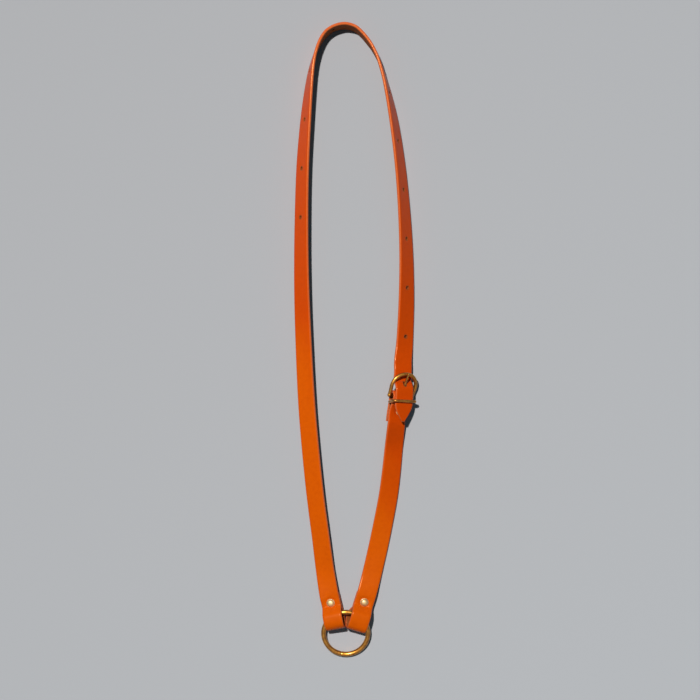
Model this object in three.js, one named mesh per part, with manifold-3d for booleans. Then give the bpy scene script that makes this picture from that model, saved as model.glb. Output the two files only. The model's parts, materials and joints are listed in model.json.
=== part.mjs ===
// A leather martingale neck loop: a long punched strap and a short buckle strap, both folded
// round one brass ring, joined by a horseshoe buckle with a wire keeper. Millimetres, +Z up.
// It lies on a surface as it was put down, with the strap standing on its outer edge round the
// top of the loop. The origin is at the middle of the whole object, on that surface.
import * as THREE from "three";
import { mergeVertices } from "three/addons/utils/BufferGeometryUtils.js";
import Module from "manifold-3d";

const wasm = await Module();
wasm.setup();

// --- Driving dimensions -------------------------------------------------------------------

// Strap leather
const STRAP_WIDTH = 20;
const STRAP_THICKNESS = 3.2;
const EDGE_ROUNDING = 0.8;
const FOLD_THICKNESS = 2.2; // the leather is shaved thinner where it turns round the ring
const FOLD_WIDTH = 19.2; // and drawn in a little
const LAYER_GAP = 0.3; // between leather and whatever it lies against

// Punched holes and the pointed end
const HOLE_COUNT = 13;
const HOLE_PITCH = 49.7;
const HOLE_DIAMETER = 3.6;
const POINT_LENGTH = 18.5;
const POINT_END = 1.2; // half width left at the very end
const POINT_FULLNESS = 1.1; // nearer 0.7 the sides swell, nearer 1.3 they run straight
const TIP_PAST_BAR = 25.3;

// Ring
const RING_INNER_DIAMETER = 40.2;
const RING_WIRE = 5;
const RING_HANG = new THREE.Vector2(-4.3, -266); // where its wire crosses the folds

// Folds round the ring, measured along the strap from the rivet
const FOLD_LENGTH = 27; // to the outside of the fold
const FOLD_TAIL = 8; // what is left past the rivet
const FOLD_PLAY = 1.5; // between the ring wire and the leather above and below it
const FOLD_SWELL = 0.8; // how much the fold opens past the ring wire
const RIGHT_FOLD_EXTRA = 2.8; // the right fold reaches this much further into the ring
const LEFT_FOLD_LEAN = 10; // degrees
const RIGHT_FOLD_LEAN = 5; // degrees

// Rivets
const RIVET_CAP_DIAMETER = 8.6;
const RIVET_CAP_HEIGHT = 2.2;
const RIVET_FLANGE = 0.9;
const RIVET_POST_DIAMETER = 2.6;
const RIVET_SOCKET_DIAMETER = 4.6;
const RIVET_FIT = 0.3;

// Buckle
const BUCKLE_LEAN = 27; // degrees, the strap leans over on its outer edge here
const FRAME_WIRE = 3.8;
const FRAME_BOSS_DIAMETER = 4.8; // the round boss at each end of the bar
const FRAME_LENGTH = 24.3; // from the bar to the middle of the arch
const FRAME_HEEL_PLAY = 2.2; // strap width to inner width at the bar
const FRAME_SHOULDER_PLAY = 3.6; // strap width to inner width at the widest point
const FRAME_LIFT = 18.5; // degrees, from the plane of the strap
const FRAME_LEAN = 4.5; // degrees, within that plane
const SHOULDER_SHARE = 0.7; // where along the frame its sides pass over the strap's edges
const CROSSING = 12.8; // from the bar to where the tongue comes up through the strap
const BAR_DIAMETER = 2.8;
const BAR_CLEARANCE = 1.35;
const TONGUE_DIAMETER = 2.6;
const TONGUE_TIP_DIAMETER = 2;
const TONGUE_OVERHANG = 0.2;
const TONGUE_CLEARANCE = 0.45;
const SLOT_CLEARANCE = 0.5;

// Buckle strap fold
const CHAPE_RIVET = 15.3; // from the bar to the rivet that closes the fold
const CHAPE_TAIL = 11; // what is left past that rivet
const CHAPE_RIVET_OFFSET = 1.8;

// Keeper
const KEEPER_WIRE = 3;
const KEEPER_SIDE_PLAY = 1.3;
const KEEPER_SEAM = 0.4;
const KEEPER_CORNER = 2.2;
const KEEPER_LEAN = 10; // degrees, its top towards the bar

// Facets
const RING_SIDES = 10;
const RING_STEPS = 44;
const WIRE_SIDES = 8;
const ROUND_STEPS = 16;

// --- Colours and finishes -----------------------------------------------------------------

const TAN_LEATHER = new THREE.MeshStandardMaterial({ color: 0xd45a08, roughness: 0.5, metalness: 0 });
const BRASS = new THREE.MeshStandardMaterial({ color: 0xb08040, roughness: 0.3, metalness: 1 });

// --- Derived sizes ------------------------------------------------------------------------

const halfWidth = STRAP_WIDTH / 2;
const halfThickness = STRAP_THICKNESS / 2;
const ringRadius = (RING_INNER_DIAMETER + RING_WIRE) / 2;
const ringWireRadius = RING_WIRE / 2;
const layerStep = STRAP_THICKNESS + LAYER_GAP;
const frameWireRadius = FRAME_WIRE / 2;
const barRadius = BAR_DIAMETER / 2;
const keeperWireRadius = KEEPER_WIRE / 2;
const rivetGrip = LAYER_GAP + STRAP_THICKNESS + layerStep; // from flange to cap
const radians = THREE.MathUtils.degToRad;
const vector = (x, y, z) => new THREE.Vector3(x, y, z);

// --- Solids -------------------------------------------------------------------------------

function toSolid(geometry, matrix = new THREE.Matrix4()) {
  const bare = geometry.clone().applyMatrix4(matrix);
  bare.deleteAttribute("normal");
  bare.deleteAttribute("uv");
  const merged = mergeVertices(bare, 1e-4);
  const vertProperties = new Float32Array(merged.getAttribute("position").array);
  const triVerts = new Uint32Array(merged.index.array);
  return new wasm.Manifold(new wasm.Mesh({ numProp: 3, vertProperties, triVerts }));
}

function toGeometry(solid) {
  const mesh = solid.getMesh();
  const geometry = new THREE.BufferGeometry();
  geometry.setAttribute("position", new THREE.BufferAttribute(mesh.vertProperties, 3));
  geometry.setIndex(new THREE.BufferAttribute(mesh.triVerts, 1));
  geometry.computeVertexNormals();
  return geometry;
}

// --- Places -------------------------------------------------------------------------------

// A local frame: x runs along the strap, y across it, z up out of the grain side.
function frameAt(origin, yaw, pitch, roll) {
  const turn = new THREE.Euler(radians(roll), radians(pitch), radians(yaw), "ZYX");
  const matrix = new THREE.Matrix4().makeRotationFromEuler(turn);
  return matrix.setPosition(origin);
}

function direction(frame, x, y, z) {
  return vector(x, y, z).transformDirection(frame);
}

// --- Straps -------------------------------------------------------------------------------

// A station of a strap's route: where its middle runs, and which way its width lies.
function station(frame, along, across, up, side) {
  return { point: vector(along, across, up).applyMatrix4(frame), side: direction(frame, 0, side, 0) };
}

// Stations of a stretch that rests on its outer edge. Each entry is x, y, the lean in degrees and,
// where the strap is still coming down from a fold, how far its edge is off the surface.
// `outward` is 1 where the loop's outside is on the left hand of travel and -1 on the right.
function leaningStations(entries, outward) {
  return entries.map(([x, y, lean, lift = 0], i) => {
    const before = entries[Math.max(i - 1, 0)];
    const after = entries[Math.min(i + 1, entries.length - 1)];
    const travel = vector(after[0] - before[0], after[1] - before[1], 0).normalize();
    const outside = vector(-travel.y, travel.x, 0).multiplyScalar(outward);
    const angle = radians(lean);
    const grain = outside.multiplyScalar(Math.sin(angle)).add(vector(0, 0, Math.cos(angle)));
    const height = halfWidth * Math.sin(angle) + halfThickness * Math.cos(angle) + lift;
    return { point: vector(x, y, height), side: grain.cross(travel) };
  });
}

function makeRoute(stations) {
  const middle = new THREE.CatmullRomCurve3(stations.map((s) => s.point));
  const side = new THREE.CatmullRomCurve3(stations.map((s) => s.side));
  middle.arcLengthDivisions = 4000;
  return { middle, side, length: middle.getLength() };
}

// The strap's own axes at a length along its route: side, grain normal, travel and the point.
function axesAt(route, length) {
  const t = route.middle.getUtoTmapping(0, length);
  const point = route.middle.getPoint(t);
  const travel = route.middle.getTangent(t);
  const side = route.side.getPoint(t);
  side.addScaledVector(travel, -side.dot(travel)).normalize();
  const grain = travel.clone().cross(side);
  return { side, grain, travel, point };
}

function lengthNearest(route, point) {
  const step = 0.25;
  let best = 0;
  let least = Infinity;
  for (let length = 0; length <= route.length; length += step) {
    const distance = axesAt(route, length).point.distanceTo(point);
    if (distance < least) {
      least = distance;
      best = length;
    }
  }
  return best;
}

// Lengths along the strap where its blank gets a cross cut: each span is [end, step].
function crossCuts(spans) {
  const cuts = [0];
  for (const [end, step] of spans) {
    const start = cuts[cuts.length - 1];
    const count = Math.max(1, Math.round((end - start) / step));
    for (let i = 1; i <= count; i += 1) cuts.push(start + ((end - start) * i) / count);
  }
  return cuts;
}

function strapSection() {
  const flatWidth = halfWidth - EDGE_ROUNDING;
  const flatThickness = halfThickness - EDGE_ROUNDING;
  return new THREE.Shape([
    new THREE.Vector2(-flatWidth, -halfThickness),
    new THREE.Vector2(flatWidth, -halfThickness),
    new THREE.Vector2(halfWidth, -flatThickness),
    new THREE.Vector2(halfWidth, flatThickness),
    new THREE.Vector2(flatWidth, halfThickness),
    new THREE.Vector2(-flatWidth, halfThickness),
    new THREE.Vector2(-halfWidth, flatThickness),
    new THREE.Vector2(-halfWidth, -flatThickness),
  ]);
}

// A flat blank with a cross cut at every step, bent along its route.
function bendStrap(route, cuts, widthShare, thicknessShare) {
  const blank = new THREE.ExtrudeGeometry(strapSection(), {
    depth: cuts.length - 1,
    steps: cuts.length - 1,
    bevelEnabled: false,
  });
  const position = blank.getAttribute("position");
  const axes = cuts.map((length) => axesAt(route, length));
  const placed = vector(0, 0, 0);
  for (let i = 0; i < position.count; i += 1) {
    const cut = Math.round(position.getZ(i));
    const { side, grain, point } = axes[cut];
    placed.copy(point);
    placed.addScaledVector(side, position.getX(i) * widthShare(cuts[cut]));
    placed.addScaledVector(grain, position.getY(i) * thicknessShare(cuts[cut]));
    position.setXYZ(i, placed.x, placed.y, placed.z);
  }
  return toSolid(blank);
}

function punch(strap, route, length, diameter) {
  const { side, grain, travel, point } = axesAt(route, length);
  const matrix = new THREE.Matrix4().makeBasis(side, grain, travel).setPosition(point);
  const radius = diameter / 2;
  const drill = new THREE.CylinderGeometry(radius, radius, 3 * STRAP_THICKNESS, ROUND_STEPS - 4);
  return strap.subtract(toSolid(drill, matrix));
}

// A round hole through a fold at a rivet, with the leather pressed down under the cap.
function drillForRivet(strap, rivet) {
  const hole = RIVET_SOCKET_DIAMETER / 2 + RIVET_FIT;
  const seat = RIVET_CAP_DIAMETER / 2 + RIVET_FIT;
  const top = RIVET_FLANGE + rivetGrip + 2 * RIVET_CAP_HEIGHT;
  const profile = [
    new THREE.Vector2(0, -1),
    new THREE.Vector2(seat, -1),
    new THREE.Vector2(seat, RIVET_FLANGE + LAYER_GAP - RIVET_FIT / 2),
    new THREE.Vector2(hole, RIVET_FLANGE + LAYER_GAP - RIVET_FIT / 2),
    new THREE.Vector2(hole, RIVET_FLANGE + rivetGrip),
    new THREE.Vector2(seat, RIVET_FLANGE + rivetGrip),
    new THREE.Vector2(seat, top),
    new THREE.Vector2(0, top),
  ];
  const drill = new THREE.LatheGeometry(profile, ROUND_STEPS);
  drill.rotateX(Math.PI / 2);
  return strap.subtract(toSolid(drill, rivet));
}

// --- Wire ---------------------------------------------------------------------------------

function wireSection(radius, sides) {
  const corners = [];
  for (let i = 0; i < sides; i += 1) {
    const angle = (2 * Math.PI * i) / sides;
    corners.push(new THREE.Vector2(radius * Math.cos(angle), radius * Math.sin(angle)));
  }
  return new THREE.Shape(corners);
}

function bendWire(curve, radius, steps) {
  return new THREE.ExtrudeGeometry(wireSection(radius, WIRE_SIDES), {
    steps,
    extrudePath: curve,
    bevelEnabled: false,
  });
}

// --- Where the folds and the buckle lie ---------------------------------------------------

// Each fold frame has its origin under the rivet, on the underside of the lower rivet flange.
const foldRise = (lean) => halfWidth * Math.sin(radians(lean));
const leftFold = frameAt(vector(-18.4, -256.7, foldRise(LEFT_FOLD_LEAN)), -77, 0, LEFT_FOLD_LEAN);
const rightFold = frameAt(
  vector(13.9, -256.3, foldRise(RIGHT_FOLD_LEAN)),
  -107.5,
  0,
  -RIGHT_FOLD_LEAN,
);

// The buckle frame has its origin at the middle of the bar.
const barLoopRadius = barRadius + BAR_CLEARANCE;
const chapeStep = barLoopRadius + halfThickness;
const chapeUnderside = chapeStep + halfThickness;
const underBar = (chapeUnderside + LAYER_GAP) * Math.cos(radians(BUCKLE_LEAN));
const barHeight = halfWidth * Math.sin(radians(BUCKLE_LEAN)) + underBar;
const buckle = frameAt(vector(51.14, -47.1, barHeight), -94, 0, -BUCKLE_LEAN);

// The keeper stands right behind the eye of the tongue.
const tongueEyeRadius = barRadius + LAYER_GAP + TONGUE_DIAMETER / 2;
const keeperFromBar = tongueEyeRadius + TONGUE_DIAMETER / 2 + LAYER_GAP + keeperWireRadius;

// Heights above the bar in the buckle frame
const strapOverBar = chapeUnderside + LAYER_GAP + halfThickness;
const archHeight = FRAME_LENGTH * Math.sin(radians(FRAME_LIFT));
const archReach = FRAME_LENGTH * Math.cos(radians(FRAME_LIFT));
const strapUnderFrame = SHOULDER_SHARE * archHeight - frameWireRadius - LAYER_GAP - halfThickness;

// --- A fold round the ring ----------------------------------------------------------------

// Heights above the fold frame
const lowerLayer = RIVET_FLANGE + LAYER_GAP + halfThickness;
const upperLayer = lowerLayer + layerStep;
const overWire = lowerLayer + 2 * halfThickness + RING_WIRE + 2 * FOLD_PLAY;
const foldCrown = overWire + FOLD_SWELL;
const foldRadius = (foldCrown - lowerLayer) / 2;

// The folds hold the top of the ring up, at their own middle height; its bottom rests.
const ringHeight = foldRise(LEFT_FOLD_LEAN) + lowerLayer + foldRadius;
const ringTilt = Math.asin((ringHeight - ringWireRadius) / (2 * ringRadius));

// From the end of the lower layer, round the ring, to the upper layer over the rivet.
function ringFoldStations(frame, length) {
  const turn = length - FOLD_THICKNESS / 2 - foldRadius;
  const middle = lowerLayer + foldRadius;
  const stations = [];
  for (const along of [-FOLD_TAIL, -FOLD_TAIL / 2, 0, 0.25 * turn, 0.5 * turn, 0.75 * turn]) {
    stations.push(station(frame, along, 0, lowerLayer, -1));
  }
  for (let i = 0; i <= 6; i += 1) {
    const angle = (Math.PI * i) / 6 - Math.PI / 2;
    const along = turn + foldRadius * Math.cos(angle);
    stations.push(station(frame, along, 0, middle + foldRadius * Math.sin(angle), -1));
  }
  const rise = foldCrown - upperLayer;
  stations.push(station(frame, 0.56 * FOLD_LENGTH, 0, foldCrown - 0.03 * rise, -1));
  stations.push(station(frame, 0.41 * FOLD_LENGTH, 0, foldCrown - 0.16 * rise, -1));
  stations.push(station(frame, 0.27 * FOLD_LENGTH, 0, foldCrown - 0.6 * rise, -1));
  stations.push(station(frame, 0.15 * FOLD_LENGTH, 0, foldCrown - 0.97 * rise, -1));
  stations.push(station(frame, 0, 0, upperLayer, -1));
  stations.push(station(frame, -FOLD_TAIL, 0, upperLayer, -1));
  return stations;
}

const foldSpan = 2 * FOLD_LENGTH + FOLD_TAIL + foldRadius;

// 0 at the turn of a fold, 1 a little way from it, by length along the strap.
function awayFromTurn(length) {
  const fromTurn = Math.abs(length - FOLD_TAIL - FOLD_LENGTH) / (FOLD_LENGTH / 2);
  return THREE.MathUtils.smoothstep(fromTurn, 0.4, 1);
}

const shareAtTurn = (share, length) => THREE.MathUtils.lerp(share, 1, awayFromTurn(length));
const foldThickness = (length) => shareAtTurn(FOLD_THICKNESS / STRAP_THICKNESS, length);
const foldWidth = (length) => shareAtTurn(FOLD_WIDTH / STRAP_WIDTH, length);

// --- The long strap -----------------------------------------------------------------------

const leftSide = [
  [-25.4, -224.5, 20],
  [-29.5, -193, 26],
  [-35.5, -147, 28],
  [-40.2, -101.5, 29],
  [-44, -56, 31],
  [-47.2, 5, 36],
  [-49.2, 66, 42],
  [-49.4, 127, 48],
  [-48, 188, 53],
  [-45, 233.5, 60],
  [-42.3, 262, 68],
  [-39.2, 285, 77],
  [-35.6, 300, 84],
  [-31, 311.8, 88],
  [-26.2, 319.4, 90],
  [-18.5, 325.8, 90],
  [-6.1, 329.2, 90],
  [5, 326.6, 90],
  [11.8, 321, 90],
  [17, 315, 90],
  [22.4, 307.6, 88],
  [28.4, 296, 85],
  [34.4, 278, 81],
  [38.6, 262, 75],
  [44.7, 232, 66],
  [51, 187, 60],
  [55, 141.5, 54],
  [57.2, 96, 47],
  [57.3, 50.5, 39],
  [55.6, 8, 32],
];

// Over the frame, down the tongue and past the bar: distance from the bar and height above it.
const overBuckle = [
  [-archReach - 12, strapUnderFrame - 1.4],
  [-archReach - 4, strapUnderFrame - 0.3],
  [-archReach, strapUnderFrame],
  [-SHOULDER_SHARE * archReach, strapUnderFrame + 0.2],
  [-CROSSING, (strapUnderFrame + strapOverBar) / 2],
  [-CROSSING + 4.5, strapOverBar - 0.6],
  [0, strapOverBar],
  [keeperFromBar, strapOverBar],
  [14, strapOverBar],
  [TIP_PAST_BAR, strapOverBar + 0.4],
];

const neckRoute = makeRoute([
  ...ringFoldStations(leftFold, FOLD_LENGTH),
  ...leaningStations(leftSide, 1),
  ...overBuckle.map(([along, up]) => station(buckle, along, 0, up, 1)),
]);

const tongueHoleAt = lengthNearest(
  neckRoute,
  vector(-CROSSING, 0, (strapUnderFrame + strapOverBar) / 2).applyMatrix4(buckle),
);

// Half width towards the pointed end, as a share of the full one.
function pointShare(length) {
  const left = Math.max(neckRoute.length - length, 0);
  if (left >= POINT_LENGTH) return 1;
  const endShare = POINT_END / halfWidth;
  const along = Math.pow(left / POINT_LENGTH, POINT_FULLNESS);
  return endShare + (1 - endShare) * Math.sin((Math.PI / 2) * along);
}

// --- Tongue route, through the strap and onto the arch ------------------------------------

const tongueRadius = TONGUE_DIAMETER / 2;
const tongueTipRadius = TONGUE_TIP_DIAMETER / 2;
const tongueRest = archHeight + frameWireRadius + LAYER_GAP + tongueRadius;
const tongueStart = vector(-tongueEyeRadius * 0.8, 0, tongueEyeRadius * 0.6);
const tongueOnArch = vector(-archReach, 1.4, tongueRest);
const tongueRoute = new THREE.LineCurve3(
  tongueStart,
  tongueStart.clone().lerp(tongueOnArch, 1 + TONGUE_OVERHANG / archReach),
);

// A straight shank from the bar's side to the arch, tapered towards its tip.
function tongueShank(extra) {
  const length = tongueRoute.getLength();
  const start = tongueRadius + extra;
  const end = tongueTipRadius + extra;
  const shank = new THREE.CylinderGeometry(end, start, length, WIRE_SIDES, 6);
  const travel = tongueRoute.getTangent(0);
  const turn = new THREE.Quaternion().setFromUnitVectors(vector(0, 1, 0), travel);
  const middle = tongueRoute.getPoint(0.5);
  return toSolid(shank, new THREE.Matrix4().compose(middle, turn, vector(1, 1, 1)));
}

function makeNeckStrap() {
  const total = neckRoute.length;
  const stackStart = total - TIP_PAST_BAR - FRAME_LENGTH - 12;
  const cuts = crossCuts([
    [foldSpan + FOLD_TAIL, 3],
    [foldSpan + 90, 8],
    [stackStart, 11],
    [total - POINT_LENGTH, 3],
    [total, 1.75],
  ]);
  let strap = bendStrap(neckRoute, cuts, (at) => foldWidth(at) * pointShare(at), foldThickness);
  for (let i = 0; i < HOLE_COUNT; i += 1) {
    strap = punch(strap, neckRoute, tongueHoleAt - i * HOLE_PITCH, HOLE_DIAMETER);
  }
  strap = strap.subtract(tongueShank(TONGUE_CLEARANCE).transform(buckle.elements));
  return toGeometry(drillForRivet(strap, leftFold));
}

// --- The buckle strap ---------------------------------------------------------------------

const rightSide = [
  [21.6, -231.5, 3, 1.2],
  [25.6, -215, 2, 0.2],
  [28.8, -201, 2],
  [34.6, -172.6, 7],
  [39.2, -147.2, 12],
  [42.1, -124, 17],
  [44.7, -98, 22],
];

// Sideways set of the buckle strap, which lies towards the inside of the loop behind the bar.
const chapeReach = CHAPE_RIVET + CHAPE_TAIL;
const chapeDrift = (along) => -0.4 - 1.8 * THREE.MathUtils.smoothstep(along, 0, chapeReach);

function chapeStations() {
  const lower = -chapeStep;
  const upper = lower + layerStep;
  const rise = chapeStep - upper;
  const stations = [];
  const place = (along, up) => stations.push(station(buckle, along, chapeDrift(along), up, -1));
  place(chapeReach + 3, upper + 0.1);
  place(CHAPE_RIVET + 0.5 * CHAPE_TAIL, upper);
  place(CHAPE_RIVET, upper);
  place(0.7 * CHAPE_RIVET, upper + 0.25 * rise);
  place(0.4 * CHAPE_RIVET, upper + 0.72 * rise);
  place(0.16 * CHAPE_RIVET, upper + 0.96 * rise);
  for (let i = 0; i <= 6; i += 1) {
    const angle = Math.PI / 2 + (Math.PI * i) / 6;
    place(chapeStep * Math.cos(angle), chapeStep * Math.sin(angle));
  }
  place(0.35 * CHAPE_RIVET, lower);
  place(0.7 * CHAPE_RIVET, lower);
  place(CHAPE_RIVET, lower);
  place(CHAPE_RIVET + 0.5 * CHAPE_TAIL, lower);
  place(chapeReach, lower);
  return stations;
}

const buckleStrapRoute = makeRoute([
  ...ringFoldStations(rightFold, FOLD_LENGTH + RIGHT_FOLD_EXTRA),
  ...leaningStations(rightSide, -1),
  ...chapeStations(),
]);

const chapeRivet = buckle
  .clone()
  .multiply(
    new THREE.Matrix4().makeTranslation(
      CHAPE_RIVET,
      chapeDrift(CHAPE_RIVET) + CHAPE_RIVET_OFFSET,
      -chapeUnderside - LAYER_GAP - RIVET_FLANGE,
    ),
  );

function tongueSlot() {
  const width = TONGUE_DIAMETER + 2 * SLOT_CLEARANCE;
  const front = chapeUnderside + 1;
  const back = tongueEyeRadius + tongueRadius + SLOT_CLEARANCE;
  const slot = new THREE.BoxGeometry(front + back, width, 2 * chapeUnderside + 2);
  slot.translate((back - front) / 2, 0, 0);
  return toSolid(slot, buckle);
}

function makeBuckleStrap() {
  const total = buckleStrapRoute.length;
  const chapeSpan = 2 * chapeReach + Math.PI * chapeStep;
  const cuts = crossCuts([
    [foldSpan + FOLD_TAIL, 3],
    [total - chapeSpan, 7],
    [total, 2.6],
  ]);
  let strap = bendStrap(buckleStrapRoute, cuts, foldWidth, foldThickness);
  strap = drillForRivet(strap, rightFold);
  strap = drillForRivet(strap, chapeRivet);
  return toGeometry(strap.subtract(tongueSlot()));
}

// --- Metal pieces -------------------------------------------------------------------------

function makeRing() {
  const ring = new THREE.TorusGeometry(ringRadius, ringWireRadius, RING_SIDES, RING_STEPS);
  ring.rotateX(ringTilt);
  const hang = ringRadius * Math.cos(ringTilt);
  const rise = ringRadius * Math.sin(ringTilt);
  ring.translate(RING_HANG.x, RING_HANG.y - hang, ringWireRadius + rise);
  return toGeometry(toSolid(ring));
}

const frameLean = new THREE.Matrix4().makeRotationFromEuler(
  new THREE.Euler(0, radians(FRAME_LIFT), radians(-FRAME_LEAN), "YZX"),
);

function makeBuckleFrame() {
  const heel = (STRAP_WIDTH + FRAME_HEEL_PLAY + FRAME_WIRE) / 2;
  const shoulder = (STRAP_WIDTH + FRAME_SHOULDER_PLAY + FRAME_WIRE) / 2;
  const half = [
    vector(0, heel, 0),
    vector(-0.22 * FRAME_LENGTH, heel + 0.45 * (shoulder - heel), 0),
    vector(-0.5 * FRAME_LENGTH, shoulder, 0),
    vector(-0.76 * FRAME_LENGTH, 0.84 * shoulder, 0),
    vector(-0.94 * FRAME_LENGTH, 0.48 * shoulder, 0),
  ];
  const otherHalf = half.map((p) => vector(p.x, -p.y, p.z)).reverse();
  const horseshoe = new THREE.CatmullRomCurve3([...half, vector(-FRAME_LENGTH, 0, 0), ...otherHalf]);
  const bow = toSolid(bendWire(horseshoe, frameWireRadius, 36));
  const bar = toSolid(new THREE.CylinderGeometry(barRadius, barRadius, 2 * heel, 12));
  const corner = new THREE.SphereGeometry(FRAME_BOSS_DIAMETER / 2, 10, 8);
  const corners = [-heel, heel].map((y) => toSolid(corner, new THREE.Matrix4().makeTranslation(0, y, 0)));
  const whole = corners.reduce((sum, next) => sum.add(next), bow.add(bar));
  return toGeometry(whole.transform(frameLean.elements).transform(buckle.elements));
}

function makeTongue() {
  const eye = new THREE.TorusGeometry(tongueEyeRadius, tongueRadius, WIRE_SIDES, 20);
  eye.rotateX(Math.PI / 2);
  return toGeometry(toSolid(eye).add(tongueShank(0)).transform(buckle.elements));
}

// A rectangle of wire standing across the strap, with its seam inside the fold.
function makeKeeper() {
  const side = (STRAP_WIDTH + KEEPER_SIDE_PLAY + KEEPER_WIRE) / 2;
  const bottom = -chapeStep + halfThickness + LAYER_GAP + keeperWireRadius;
  const overStrap = strapOverBar + halfThickness + LAYER_GAP + keeperWireRadius;
  const top = bottom + (overStrap - bottom) / Math.cos(radians(KEEPER_LEAN));
  const corner = KEEPER_CORNER;
  const shape = new THREE.Path();
  shape.moveTo(KEEPER_SEAM / 2, bottom);
  shape.lineTo(side - corner, bottom);
  shape.absarc(side - corner, bottom + corner, corner, -Math.PI / 2, 0, false);
  shape.lineTo(side, top - corner);
  shape.absarc(side - corner, top - corner, corner, 0, Math.PI / 2, false);
  shape.lineTo(corner - side, top);
  shape.absarc(corner - side, top - corner, corner, Math.PI / 2, Math.PI, false);
  shape.lineTo(-side, bottom + corner);
  shape.absarc(corner - side, bottom + corner, corner, Math.PI, 1.5 * Math.PI, false);
  shape.lineTo(-KEEPER_SEAM / 2, bottom);
  const points = shape.getSpacedPoints(40).map((p) => vector(0, p.x, p.y - bottom));
  const wire = bendWire(new THREE.CatmullRomCurve3(points), keeperWireRadius, 48);
  wire.rotateY(radians(-KEEPER_LEAN));
  wire.translate(keeperFromBar, chapeDrift(keeperFromBar) / 2, bottom);
  return toGeometry(toSolid(wire, buckle));
}

// A rivet cap with its post, standing on the grain side; heights are above the flange's underside.
function makeRivetCap(rivet) {
  const radius = RIVET_CAP_DIAMETER / 2;
  const post = RIVET_POST_DIAMETER / 2;
  const seat = RIVET_FLANGE + rivetGrip + LAYER_GAP;
  const profile = [new THREE.Vector2(0, RIVET_FLANGE + RIVET_FIT)];
  profile.push(new THREE.Vector2(post, RIVET_FLANGE + RIVET_FIT));
  profile.push(new THREE.Vector2(post, seat));
  profile.push(new THREE.Vector2(radius, seat));
  for (let i = 1; i <= 4; i += 1) {
    const angle = (Math.PI / 2) * (i / 4);
    const height = seat + 0.4 + (RIVET_CAP_HEIGHT - 0.4) * Math.sin(angle);
    profile.push(new THREE.Vector2(i === 4 ? 0 : radius * Math.cos(angle), height));
  }
  const cap = new THREE.LatheGeometry(profile, ROUND_STEPS);
  cap.rotateX(Math.PI / 2);
  return toGeometry(toSolid(cap, rivet));
}

// The flange under the leather, with the socket that takes the post.
function makeRivetFlange(rivet) {
  const radius = RIVET_CAP_DIAMETER / 2;
  const socket = RIVET_SOCKET_DIAMETER / 2;
  const bore = RIVET_POST_DIAMETER / 2 + RIVET_FIT;
  const top = RIVET_FLANGE + rivetGrip - RIVET_FIT;
  const profile = [
    new THREE.Vector2(0, 0),
    new THREE.Vector2(radius, 0),
    new THREE.Vector2(radius, RIVET_FLANGE),
    new THREE.Vector2(socket, RIVET_FLANGE),
    new THREE.Vector2(socket, top),
    new THREE.Vector2(bore, top),
    new THREE.Vector2(bore, RIVET_FLANGE),
    new THREE.Vector2(0, RIVET_FLANGE),
  ];
  const flange = new THREE.LatheGeometry(profile, ROUND_STEPS);
  flange.rotateX(Math.PI / 2);
  return toGeometry(toSolid(flange, rivet));
}

// --- Assembly -----------------------------------------------------------------------------

const martingale = new THREE.Group();

function addPiece(name, geometry, material) {
  const piece = new THREE.Mesh(geometry, material);
  piece.name = name;
  martingale.add(piece);
}

addPiece("neck_strap", makeNeckStrap(), TAN_LEATHER);
addPiece("buckle_strap", makeBuckleStrap(), TAN_LEATHER);
addPiece("ring", makeRing(), BRASS);
addPiece("buckle_frame", makeBuckleFrame(), BRASS);
addPiece("buckle_tongue", makeTongue(), BRASS);
addPiece("keeper", makeKeeper(), BRASS);

const rivets = {
  neck_strap_rivet: leftFold,
  buckle_strap_rivet: rightFold,
  buckle_fold_rivet: chapeRivet,
};
for (const [name, rivet] of Object.entries(rivets)) {
  addPiece(`${name}_cap`, makeRivetCap(rivet), BRASS);
  addPiece(`${name}_flange`, makeRivetFlange(rivet), BRASS);
}

// Puts the origin at the middle of the object, on the surface that it lies on.
const bounds = new THREE.Box3().setFromObject(martingale);
const middle = bounds.getCenter(vector(0, 0, 0));
martingale.position.set(-middle.x, -middle.y, -bounds.min.z);

export default martingale;
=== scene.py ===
"""Looks for the leather martingale: two bridle leather straps riveted round a brass ring and
buckled together, laid out on a pale floor. Sizes are in millimetres until a piece is finished."""

import json
from math import asin, cos, exp, hypot, pi, radians, sin, sqrt

import bmesh
import bpy
from mathutils import Matrix, Vector


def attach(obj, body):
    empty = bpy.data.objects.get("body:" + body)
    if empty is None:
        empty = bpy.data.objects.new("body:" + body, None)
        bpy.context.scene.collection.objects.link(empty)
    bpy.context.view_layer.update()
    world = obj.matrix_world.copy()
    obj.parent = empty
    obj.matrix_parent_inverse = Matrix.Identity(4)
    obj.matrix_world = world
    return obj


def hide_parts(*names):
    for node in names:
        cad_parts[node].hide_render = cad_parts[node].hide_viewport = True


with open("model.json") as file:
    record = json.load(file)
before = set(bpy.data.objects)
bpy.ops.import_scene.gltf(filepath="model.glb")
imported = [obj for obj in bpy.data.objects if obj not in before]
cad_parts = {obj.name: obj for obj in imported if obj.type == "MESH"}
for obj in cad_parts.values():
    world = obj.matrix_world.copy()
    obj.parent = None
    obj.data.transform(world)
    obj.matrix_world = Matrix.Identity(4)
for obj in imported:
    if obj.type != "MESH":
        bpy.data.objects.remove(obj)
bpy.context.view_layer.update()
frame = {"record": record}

# --- Sizes, as the CAD model has them --------------------------------------------------------

METRES = 0.001  # one millimetre

STRAP_WIDTH = 20
STRAP_THICKNESS = 3.2
LAYER_GAP = 0.3
FOLD_THICKNESS = 2.2
FOLD_WIDTH = 19.2
HOLE_COUNT = 13
HOLE_PITCH = 49.7
HOLE_DIAMETER = 3.6
POINT_LENGTH = 18.5
POINT_END = 1.2
POINT_FULLNESS = 1.1
TIP_PAST_BAR = 25.3

RING_INNER_DIAMETER = 40.2
RING_WIRE = 5

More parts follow.
